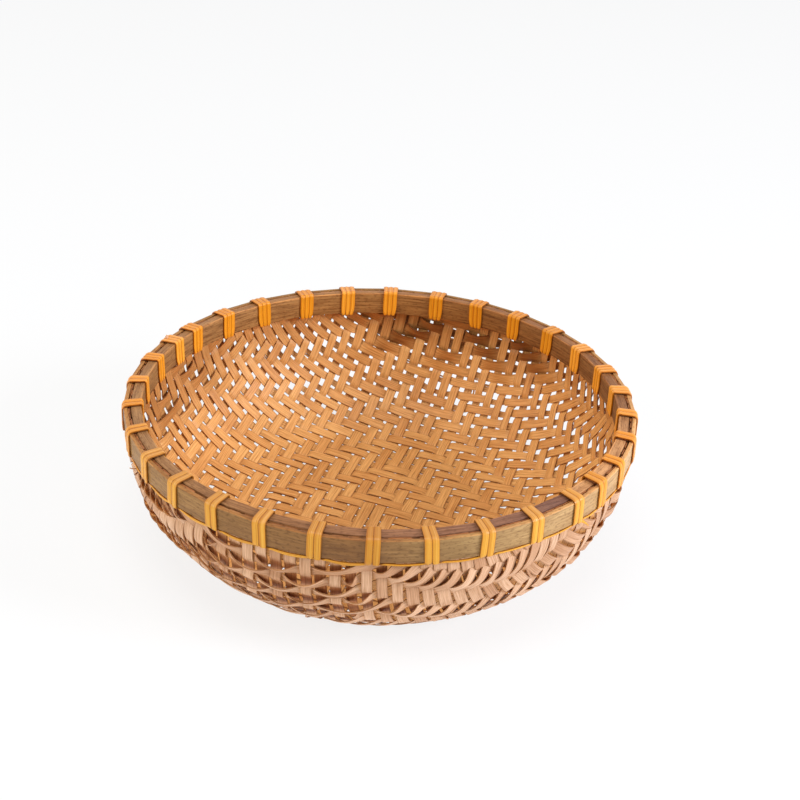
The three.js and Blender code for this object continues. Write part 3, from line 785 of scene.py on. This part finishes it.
# Lashings, numbered from 0 at the front
TURN_GAP = 0.03
TURN_PITCH = {2: 3.4, 3: 2.8}
FRONT_REACH = math.radians(94)  # how far round each way a lashing has two turns
BEND = 1.0
KNOT_WIDTH = 1.7
KNOT_PITCH = 2.1
STRAND_WIDTH = 1.15
TAIL_LASHING = 4  # the strip's loose end hangs out here
STANDING_UP = {4: 0.4, 5: 1.3, 6: 0.8, 7: 0.7, 8: 0.4}  # loose over the rim's top
FIRST_SAGGING = 27  # from here on the strand is loose too
UNDERPASS = min(OUTER_HOOP_BOTTOM, INNER_HOOP_BOTTOM) - STAND_OFF - STRIP_THICK / 2
# The strip's tone by its bearing in degrees, partly its own colour and partly painted light and shade:
# brownest at the front and brightest at the right
STRIP_TONE_AND_PAINTED_LIGHT = {0: 1.05, 25: 1.0, 45: 0.8, 90: 0.92, 135: 0.9, 160: 1.0, 180: 0.92}
STRIP_TONE_AND_PAINTED_LIGHT |= {225: 0.32, 248: 0.22, 270: 0.06, 292: 0.3, 315: 0.5, 340: 0.95, 360: 1.05}


def lashing_turns(index):
    around = LASHING_ANGLES[index]
    return 2 if min(around, 2 * math.pi - around) <= FRONT_REACH else 3


def facing(degrees):
    """Direction that a face of the strip looks in: 0 is outwards from the rim and 90 upwards."""
    return (math.cos(math.radians(degrees)), 0, math.sin(math.radians(degrees)))


def lashing_path(index):
    """Radius, place along the rim, height, width direction, face direction and width at points of a strip.

    Directions are in the lashing's own terms: outwards, along the rim and up.
    """
    turns, following = lashing_turns(index), lashing_turns((index + 1) % LASHINGS)
    gap = STAND_OFF - 0.05
    outside = RIM_RADIUS + gap + STRIP_THICK / 2
    inside = INNER_HOOP[0] - gap - STRIP_THICK / 2
    low = OUTER_HOOP_BOTTOM
    lift = STANDING_UP.get(index, 0.25) + rng.uniform(0.0, 0.15)
    skew = rng.uniform(-0.9, 0.9)
    back, upright, strand_face = (0, -1, 0), (0.15, 0, 1), (1, 0, -0.15)

    def face_at(turn, share):
        return (turn - (turns - 1) / 2) * TURN_PITCH[turns] + skew * (share - 0.5)

    def knot_at(turn):
        return (turn - (turns - 1) / 2) * KNOT_PITCH - skew * 0.5

    def over(radius):
        return top_at(radius) + gap + STRIP_THICK / 2 + lift

    strand_radius = RIM_RADIUS - 0.5
    strand_height = low - 0.1 - STRAND_WIDTH / 2
    start = knot_at(0)
    strand = (strand_height, upright, strand_face, STRAND_WIDTH)
    path = [(strand_radius, start - 2.6, *strand), (strand_radius, start - 1.4, *strand)]
    for turn in range(turns):
        knot = knot_at(turn)
        wide = TURN_PITCH[turns] - TURN_GAP - rng.uniform(0, 0.08)
        under = (face_at(turn, 0.0) + knot) / 2
        path.append((outside - BEND, under, UNDERPASS, back, facing(-67.5), wide * 0.8))
        # radius, share of the skew, height, where the face looks and share of the width
        for radius, share, height, degrees, part in (
            (outside - 0.1, 0.05, low + 0.3, -22.5, 0.95),
            (outside + 0.05, 0.2, low + 2.6, 0, 1),
            (outside + 0.02, 0.4, low + 5.5, 0, 1),
            (outside, 0.7, over(outside) - lift - 2.4, 0, 1),
            (outside - 0.15, 0.78, over(outside) - lift * 0.7 - 1.15, 22.5, 1),
            (outside - 0.55, 0.82, over(outside) - lift * 0.3 - 0.5, 45, 1),
            (outside - 1.2, 0.86, over(outside) - 0.05, 67.5, 1),
            (outside - 2.6, 0.9, over(outside - 2.6) + 0.1, 85, 1),
            (inside + 2.4, 1.0, over(inside + 2.4), 85, 1),
            (inside + 0.62 * BEND, 1.0, over(inside) - 0.05, 112.5, 1),
            (inside, 1.0, over(inside) - lift * 0.6 - BEND * 0.62, 157.5, 1),
            (inside, 0.8, over(inside) - lift - BEND - 1.2, 180, 1),
            (inside, 0.5, low + 4.0, 180, 1),
        ):
            path.append((radius, face_at(turn, share), height, back, facing(degrees), wide * part))
        path.append((inside, knot * 1.15, INNER_HOOP_BOTTOM + 0.2, back, facing(202.5), KNOT_WIDTH * 1.3))
        path.append((inside + BEND, knot, UNDERPASS, back, facing(247.5), KNOT_WIDTH))
    leave = knot_at(turns)
    path.append((OUTER_HOOP[0], leave, UNDERPASS, back, facing(270), KNOT_WIDTH))
    turning = ((1, -1, 1), (1, 1, -1), (KNOT_WIDTH + STRAND_WIDTH) / 2)
    path.append((strand_radius - 0.3, leave + 1.0, strand_height - 0.3, *turning))

    # the strand that runs on to the next lashing
    begin = leave + 2.6
    end = BAYS[index] * RIM_RADIUS - (following - 1) / 2 * KNOT_PITCH - 1.0
    sagging = index >= FIRST_SAGGING
    sag = rng.uniform(0.6, 1.1) if sagging else rng.uniform(0.1, 0.8)
    for part in np.linspace(0, 1, 7):
        bow = math.sin(math.pi * part)
        wide = STRAND_WIDTH + (0.6 * bow if sagging else 0)
        place = (strand_radius, begin + (end - begin) * part, strand_height - sag * bow)
        path.append((*place, upright, strand_face, wide))
    return path


def add_tail(strip, around, tone):
    """The strip's loose end, which hangs out from under a lashing."""
    part = np.linspace(0, 1, 9)
    out = outwards(around + (3.0 + 5.5 * part) / RIM_RADIUS)
    path = out * (RIM_RADIUS - 0.6 + 1.6 * part)[:, None]
    path[:, 2] = OUTER_HOOP_BOTTOM - 0.5 - 4.8 * part**1.3
    ahead = unit(np.gradient(path, axis=0))
    side = unit(np.cross(ahead, out))
    strip.add(path, side, np.cross(ahead, side), 2.0 - 1.7 * part, 0.4, tone, shift=rng.uniform(0, 20))


def lay_lashing(index):
    path = lashing_path(index)
    radius, along, height, widthwise, looks, width = (
        catmull(np.array(column, float).reshape(len(path), -1), 4) for column in zip(*path)
    )
    around = FIRST_LASHING + LASHING_ANGLES[index]
    angle = around + along[:, 0] / RIM_RADIUS
    out, onward, upward = outwards(angle), outwards(angle + math.pi / 2), np.array([[0, 0, 1.0]])

    def turned(v):
        return out * v[:, :1] + onward * v[:, 1:2] + upward * v[:, 2:]

    middle = out * radius + upward * height
    ahead = unit(np.gradient(middle, axis=0))
    across = turned(widthwise)
    across = unit(across - (across * ahead).sum(1, keepdims=True) * ahead)
    face = np.cross(ahead, across)
    face *= np.sign((face * turned(looks)).sum(1, keepdims=True))
    width = (width * radius)[:, 0] / RIM_RADIUS
    bearing = math.degrees(around) % 360
    # the tone by bearing, with painted light and shade in it, and a small random difference
    tone = float(np.interp(bearing, list(STRIP_TONE_AND_PAINTED_LIGHT), list(STRIP_TONE_AND_PAINTED_LIGHT.values())))
    tone += rng.uniform(-0.08, 0.08)
    # painted light: how far each face looks up, to tint the tops over the rim
    on_top = np.clip(face[:, 2], 0, 1)
    strip = Strips()
    strip.add(middle, across, face, width, STRIP_THICK, tone, 0.3, rng.uniform(0, 20), on_top)
    if index == TAIL_LASHING:
        add_tail(strip, around, tone)
    return strip


lashings = []
for index in range(LASHINGS):
    name = f"lashing_{index + 1:02d}"
    lashings.append((lay_lashing(index).build(name + "_strip", 50), name))


# Finishes
WHITE = (1, 1, 1)


def material(name):
    made = bpy.data.materials.new(name)
    made.use_nodes = True
    return made, made.node_tree, made.node_tree.nodes["Principled BSDF"]


def add(tree, kind, **values):
    node = tree.nodes.new("ShaderNode" + kind)
    for key, value in values.items():
        setattr(node, key, value)
    return node


def feed(tree, socket, value):
    """Links another node's output to the socket, or sets it to a plain value."""
    if isinstance(value, bpy.types.NodeSocket):
        tree.links.new(value, socket)
    else:
        socket.default_value = value


def combine(tree, kind, *inputs, **values):
    """First output of a new node whose inputs are fed in their order."""
    node = add(tree, kind, **values)
    for socket, value in zip(node.inputs, inputs):
        feed(tree, socket, value)
    return node.outputs[0]


def srgb(r, g, b):
    """Colour from 0 to 255 as a screen shows it, made linear."""
    shares = (c / 255 for c in (r, g, b))
    return tuple(c / 12.92 if c <= 0.04045 else ((c + 0.055) / 1.055) ** 2.4 for c in shares)


def ramp(tree, source, stops):
    node = add(tree, "ValToRGB")
    elements = node.color_ramp.elements
    while len(elements) < len(stops):
        elements.new(0.5)
    for element, (place, colour) in zip(elements, stops):
        element.position = place
        element.color = (*colour, 1)
    tree.links.new(source, node.inputs["Fac"])
    return node.outputs["Color"]


def mix(tree, factor, a, b, mode="MIX"):
    node = add(tree, "Mix", data_type="RGBA", blend_type=mode)
    for index, value in ((0, factor), (6, a), (7, b)):
        feed(tree, node.inputs[index], value)
    return node.outputs[2]


def shade(tree, share, colour, source, stops):
    """A colour multiplied, in the given share, by a ramp over the source."""
    return mix(tree, share, colour, ramp(tree, source, stops), "MULTIPLY")


def attribute(tree, name):
    return add(tree, "Attribute", attribute_name=name).outputs["Fac"]


def grain_place(tree):
    """Place along a strip and over its width."""
    parts = add(tree, "SeparateXYZ")
    tree.links.new(add(tree, "UVMap", uv_map="grain").outputs["UV"], parts.inputs["Vector"])
    return parts.outputs["X"], parts.outputs["Y"]


def arithmetic(tree, operation, first, second):
    return combine(tree, "Math", first, second, operation=operation)


def noise(tree, source, scale, detail):
    node = add(tree, "TexNoise")
    node.inputs["Scale"].default_value = scale
    node.inputs["Detail"].default_value = detail
    tree.links.new(source, node.inputs["Vector"])
    return node.outputs["Fac"]


def fibres(tree, stretch, detail):
    """Noise drawn out along the strip."""
    mapping = add(tree, "Mapping")
    mapping.inputs["Scale"].default_value = (*stretch, 1.0)
    tree.links.new(add(tree, "UVMap", uv_map="grain").outputs["UV"], mapping.inputs["Vector"])
    return noise(tree, mapping.outputs["Vector"], 1.0, detail)


def finish(tree, shader, colour, roughness, height, strength, distance):
    """Gives the shader its colour and a fine relief."""
    relief = add(tree, "Bump")
    relief.inputs["Strength"].default_value = strength
    relief.inputs["Distance"].default_value = distance
    tree.links.new(height, relief.inputs["Height"])
    tree.links.new(relief.outputs["Normal"], shader.inputs["Normal"])
    tree.links.new(colour, shader.inputs["Base Color"])
    shader.inputs["Roughness"].default_value = roughness
    shader.inputs["Specular IOR Level"].default_value = 0.25


def splint_finish():
    """Split bamboo: orange-gold on its side inside the bowl and greyer outside, with dark stains where a
    splint has them, painted shade along its edges, on the left back and at the mat's edge, and painted shade
    and bounce light on under sides tucked under the other set.
    """
    made, tree, shader = material("split_bamboo")
    tone = attribute(tree, "tone")
    side = attribute(tree, "inside")
    streak = fibres(tree, (4.0, 7.0), 3.0)
    fine = fibres(tree, (9.0, 18.0), 2.0)
    own_space = add(tree, "TexCoord").outputs["Object"]
    blotch = noise(tree, own_space, 30.0, 3.0)
    inside = [(0.0, srgb(216, 154, 88)), (0.5, srgb(225, 165, 97)), (1.0, srgb(233, 176, 107))]
    outside = [(0.0, srgb(200, 152, 114)), (0.5, srgb(214, 170, 133)), (1.0, srgb(226, 185, 150))]
    inside, outside = (ramp(tree, tone, stops) for stops in (inside, outside))
    # the colour of the bowl's inside, which tucked under sides also take as painted bounce light
    colour = mix(tree, side, outside, inside)
    light = [(0.3, (0.66, 0.52, 0.38)), (0.48, (0.92, 0.88, 0.84)), (0.62, (1.08, 1.08, 1.08))]
    colour = shade(tree, 0.75, colour, streak, light)
    lines = [(0.36, (0.72, 0.6, 0.48)), (0.5, WHITE), (0.64, (1.06, 1.08, 1.1))]
    colour = shade(tree, 0.8, colour, fine, lines)
    colour = shade(tree, 0.7, colour, blotch, [(0.35, (0.86, 0.82, 0.78)), (0.65, WHITE)])
    # painted shade along the edges of each strip
    edge = (0.42, 0.3, 0.2)
    edges = [(0.0, edge), (0.08, WHITE), (0.92, WHITE), (1.0, edge)]
    colour = shade(tree, 0.6, colour, grain_place(tree)[1], edges)
    # real stains and painted shade: in the hollows under the other set, on the left back and at the mat's
    # edge
    dark = mix(tree, side, (0.66, 0.37, 0.19, 1), (0.46, 0.38, 0.32, 1))
    stained_and_shaded = mix(tree, 1.0, colour, dark, "MULTIPLY")
    colour = mix(tree, attribute(tree, "stain_and_painted_light"), colour, stained_and_shaded)
    finish(tree, shader, colour, 0.5, streak, 0.3, 0.0004)
    return made


def hoop_finish(name, stops, edges, rough, grain):
    """Bamboo whose colour changes along the hoop, from its join round to the join again, and across it."""
    made, tree, shader = material(name)
    along, over = grain_place(tree)
    once_round = arithmetic(tree, "DIVIDE", along, 2 * math.pi * 1.26)
    section = arithmetic(tree, "MULTIPLY", over, 3.0)
    streak = fibres(tree, (5.0, 110.0), 5.0)
    specks = fibres(tree, (40.0, 90.0), 2.0)
    blotch = fibres(tree, (6.0, 30.0), 4.0)
    dark = [(0.34, (0.55, 0.44, 0.36)), (0.5, (0.95, 0.92, 0.9)), (0.66, (1.12, 1.1, 1.08))]
    colour = shade(tree, 1.0, ramp(tree, once_round, stops), section, edges)
    colour = shade(tree, grain, colour, streak, dark)
    colour = shade(tree, 0.5, colour, specks, [(0.36, (0.45, 0.36, 0.3)), (0.46, WHITE)])
    clouds = [(0.38, (0.74, 0.68, 0.62)), (0.62, (1.05, 1.05, 1.05))]
    colour = shade(tree, 0.7, colour, blotch, clouds)
    finish(tree, shader, colour, rough, streak, 0.4, 0.0006)
    return made


def lashing_finish():
    """Yellow strip, with painted light: a paler, cooler tint where it lies over the top of the rim, painted
    shade along its edges and a painted highlight down its middle.
    """
    made, tree, shader = material("yellow_strip")
    streak = fibres(tree, (1.5, 8.0), 4.0)
    yellows = [
        (0.0, srgb(190, 127, 32)), (0.25, srgb(213, 150, 44)), (0.4, srgb(222, 159, 50)),
        (0.8, srgb(229, 149, 28)), (0.92, srgb(238, 154, 32)), (1.0, srgb(247, 168, 48)),
    ]
    colour = ramp(tree, attribute(tree, "tone"), yellows)
    # how far each face looks upwards: painted light that tints the tops over the rim paler and cooler
    colour = mix(tree, attribute(tree, "stain_and_painted_light"), colour, (0.85, 0.81, 1.7, 1), "MULTIPLY")
    dark = [(0.34, (0.74, 0.58, 0.38)), (0.48, WHITE), (0.62, (1.06, 1.14, 1.4))]
    colour = shade(tree, 0.85, colour, streak, dark)
    # painted shade at the edges of each turn and a painted highlight down its middle
    rounded = [
        (0.0, (0.35, 0.2, 0.1)), (0.06, (0.9, 0.78, 0.66)), (0.2, (1.02, 1.02, 1.1)),
        (0.4, (1.12, 1.22, 1.8)), (0.6, (1.02, 1.03, 1.1)), (0.94, (0.92, 0.8, 0.7)),
        (1.0, (0.35, 0.2, 0.1)),
    ]
    colour = shade(tree, 0.8, colour, grain_place(tree)[1], rounded)
    finish(tree, shader, colour, 0.3, streak, 0.3, 0.0004)
    return made


OUTER_HOOP_RUN = [
    (0.0, srgb(152, 120, 70)), (0.15, srgb(178, 136, 82)), (0.28, srgb(162, 123, 72)),
    (0.4, srgb(137, 96, 52)), (0.46, srgb(166, 133, 84)), (0.54, srgb(198, 160, 108)),
    (0.62, srgb(214, 174, 122)), (0.8, srgb(156, 124, 74)), (1.0, srgb(152, 120, 70)),
]
OUTER_HOOP_SECTION = [
    (0.0, (0.9, 0.86, 0.8)), (0.2, (0.96, 0.95, 0.93)), (0.335, WHITE), (0.345, (1.35, 1.12, 0.95)),
    (0.38, (1.1, 0.9, 0.75)),
]
INNER_HOOP_RUN = [
    (0.0, srgb(124, 87, 72)), (0.029, srgb(128, 89, 72)), (0.034, srgb(212, 162, 112)),
    (0.11, srgb(202, 152, 104)), (0.15, srgb(142, 98, 62)), (0.3, srgb(154, 104, 58)),
    (0.45, srgb(176, 126, 74)), (0.7, srgb(164, 125, 84)), (0.82, srgb(152, 108, 68)),
    (0.93, srgb(146, 104, 78)), (1.0, srgb(128, 91, 76)),
]
INNER_HOOP_SECTION = [
    (0.0, WHITE), (0.36, (0.95, 0.9, 0.86)), (0.5, (1, 0.95, 0.9)), (0.52, (1.5, 1.4, 1.25)),
    (0.56, (0.96, 0.98, 0.9)),
]
splint_material = splint_finish()
outer_material = hoop_finish("hoop_skin", OUTER_HOOP_RUN, OUTER_HOOP_SECTION, 0.45, 0.5)
inner_material = hoop_finish("hoop_inside", INNER_HOOP_RUN, INNER_HOOP_SECTION, 0.5, 0.9)
lashing_material = lashing_finish()


def dress(piece, look, slot, *nodes):
    piece.data.materials.clear()
    piece.data.materials.append(look)
    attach(piece, "root")
    if nodes:
        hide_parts(*nodes)


for piece in splints:
    dress(piece, splint_material, "splint", "woven_bowl")
dress(outer_hoop, outer_material, "outer_hoop", "outer_hoop")
dress(inner_hoop, inner_material, "inner_hoop", "inner_hoop")
for piece, node in lashings:
    dress(piece, lashing_material, "lashing", node)


# Floor, light and camera
def seen_ray(tree):
    """1 where a ray comes from the camera, a reflection or a clear material."""
    path = add(tree, "LightPath")
    share = path.outputs["Is Camera Ray"]
    for kind in ("Is Glossy Ray", "Is Transmission Ray"):
        share = arithmetic(tree, "MAXIMUM", share, path.outputs[kind])
    return share


def pale_floor():
    """White where it is seen, with a soft shadow, and plain under the light that it sends back."""
    made, tree, shader = material("pale_floor")
    tree.nodes.remove(shader)
    plain = combine(tree, "BsdfDiffuse", (0.85, 0.85, 0.85, 1))
    whitened = combine(tree, "MixShader", 0.8, plain, combine(tree, "Emission", (1, 1, 1, 1), 1.0))
    lit = combine(tree, "AddShader", plain, combine(tree, "Emission", (1, 0.98, 0.95, 1), 0.25))
    seen = combine(tree, "MixShader", seen_ray(tree), lit, whitened)
    tree.links.new(seen, tree.nodes["Material Output"].inputs["Surface"])
    return made


bpy.ops.mesh.primitive_plane_add(size=8, location=(0, 0, 0))
floor = bpy.context.active_object
floor.name = "floor"
floor.data.materials.append(pale_floor())

world = bpy.data.worlds.new("studio")
bpy.context.scene.world = world
world.use_nodes = True
tree = world.node_tree
sky = tree.nodes["Background"]
sky.inputs["Color"].default_value = (1, 1, 1, 1)
strength = add(tree, "Mix", data_type="FLOAT")
strength.inputs[2].default_value = 0.38
strength.inputs[3].default_value = 1.0
tree.links.new(seen_ray(tree), strength.inputs[0])
tree.links.new(strength.outputs[0], sky.inputs["Strength"])

LAMP_TARGET = Vector((0, 0, 0.04))


def softbox(name, place, size, watts, colour=WHITE):
    light = bpy.data.lights.new(name, "AREA")
    light.shape = "DISK"
    light.size = size
    light.energy = watts
    light.color = colour
    lamp = bpy.data.objects.new(name, light)
    lamp.location = place
    lamp.rotation_euler = (LAMP_TARGET - Vector(place)).to_track_quat("-Z", "Y").to_euler()
    bpy.context.scene.collection.objects.link(lamp)


softbox("key", (1.7, -0.55, 0.9), 0.8, 31.5, (0.97, 1.03, 1.19))
softbox("fill", (-1.7, -0.5, 0.9), 1.0, 14, (1.03, 1.0, 0.9))
softbox("above", (-0.1, -0.5, 2.0), 1.2, 19.6)

# Camera, on a stand in front of the basket: aimed at a point over the origin and then turned a little
DISTANCE = 0.7995
ELEVATION = math.radians(29.214)
AIM = Vector((0, 0, 0.0785))
FOCAL = 1573.8 / 800  # in widths of the picture
SENSOR = 36
TURN_RIGHT, TURN_UP, ROLL = (math.radians(a) for a in (0.685, -0.085, 2.380))


def turned_towards(first, second, angle):
    """Two directions at right angles, turned so that the first moves towards the second."""
    cos, sin = math.cos(angle), math.sin(angle)
    return first * cos + second * sin, second * cos - first * sin


def make_camera():
    place = AIM + Vector((0, -DISTANCE * math.cos(ELEVATION), DISTANCE * math.sin(ELEVATION)))
    ahead = Vector((0, math.cos(ELEVATION), -math.sin(ELEVATION)))
    right = Vector((1, 0, 0))
    up = right.cross(ahead)
    ahead, right = turned_towards(ahead, right, TURN_RIGHT)
    ahead, up = turned_towards(ahead, up, TURN_UP)
    right, up = turned_towards(right, up, ROLL)
    data = bpy.data.cameras.new("camera")
    data.sensor_width = SENSOR
    data.lens = FOCAL * SENSOR
    data.clip_start = 0.01
    data.clip_end = 50
    camera = bpy.data.objects.new("camera", data)
    turn = Matrix((right, up, -ahead)).transposed().to_4x4()
    camera.matrix_world = Matrix.Translation(place) @ turn
    bpy.context.scene.collection.objects.link(camera)
    bpy.context.scene.camera = camera


make_camera()
bpy.context.scene.view_settings.view_transform = "Standard"
